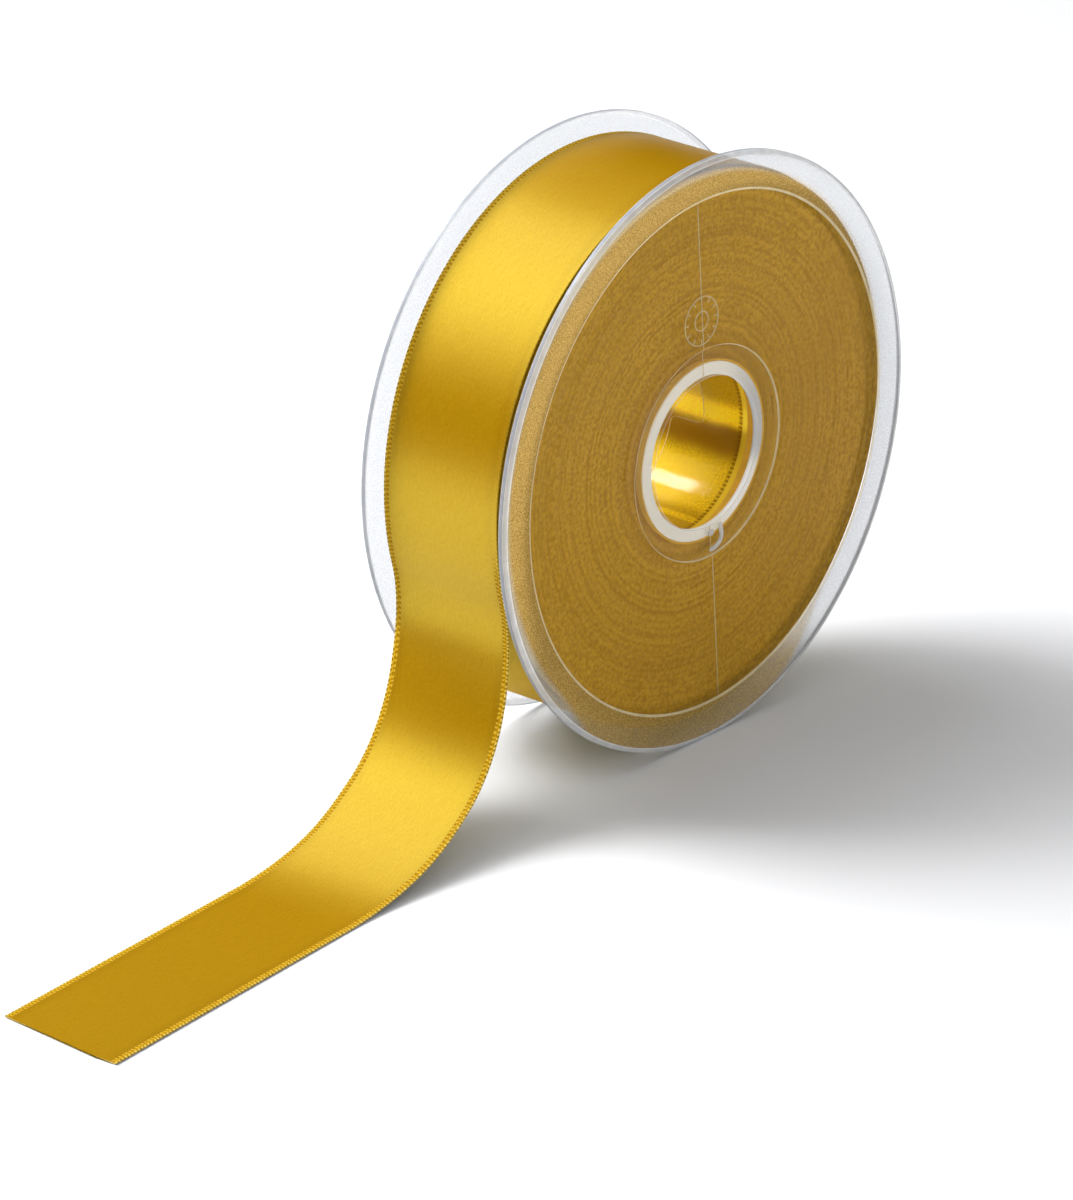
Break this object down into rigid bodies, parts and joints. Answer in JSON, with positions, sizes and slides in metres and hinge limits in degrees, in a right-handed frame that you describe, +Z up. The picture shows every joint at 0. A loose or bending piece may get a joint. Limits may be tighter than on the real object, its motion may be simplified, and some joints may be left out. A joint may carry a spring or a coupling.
{
  "type": "ribbon spool",
  "caption": "Clear plastic snap-together spool holding a roll of satin gift ribbon, with the free end paid out on the ground; the spool turns to feed ribbon from a rod through its bore.",
  "frame": {"origin": "on the spool's axis, half-way between the outer faces of the two flanges", "axes": "+Y along the spool's axis from the front flange to the rear flange, +Z up, free end of the ribbon towards -X"},
  "size_m": [0.2109, 0.0437, 0.105],
  "materials": {
    "clear_plastic": "clear injection-moulded polystyrene: polished window and hub, frosted rim band",
    "clear_tape": "thin clear adhesive film",
    "satin_ribbon": "golden yellow double-face satin with stitched selvedges"
  },
  "bodies": {
    "ribbon_lead": {"ribbon_lead": "satin_ribbon"},
    "spool": {"front_flange": "clear_plastic", "rear_flange": "clear_plastic", "anchor_tape": "clear_tape", "ribbon_roll": "satin_ribbon"},
    "ribbon_drop": {"ribbon_drop": "satin_ribbon"},
    "ribbon_flat": {"ribbon_flat": "satin_ribbon"},
    "ribbon_tip": {"ribbon_tip": "satin_ribbon"}
  },
  "joints": [
    {"name": "spool_spin", "type": "hinge", "parent": "ribbon_lead", "child": "spool", "pos_m": [0, 0, 0], "axis": [0, 1, 0], "continuous": true},
    {"name": "drop_flex", "type": "hinge", "parent": "ribbon_lead", "child": "ribbon_drop", "pos_m": [-0.04866, -0.00031, -0.02909], "axis": [-0.0801, 0.9808, -0.1778], "range_deg": [-12, 55]},
    {"name": "flat_flex", "type": "hinge", "parent": "ribbon_drop", "child": "ribbon_flat", "pos_m": [-0.09456, -0.00941, -0.05217], "axis": [-0.0888, 0.996, -0.004], "range_deg": [-60, 45]},
    {"name": "tip_flex", "type": "hinge", "parent": "ribbon_flat", "child": "ribbon_tip", "pos_m": [-0.12756, -0.01236, -0.05225], "axis": [-0.0889, 0.996, 0], "range_deg": [-50, 70]}
  ]
}
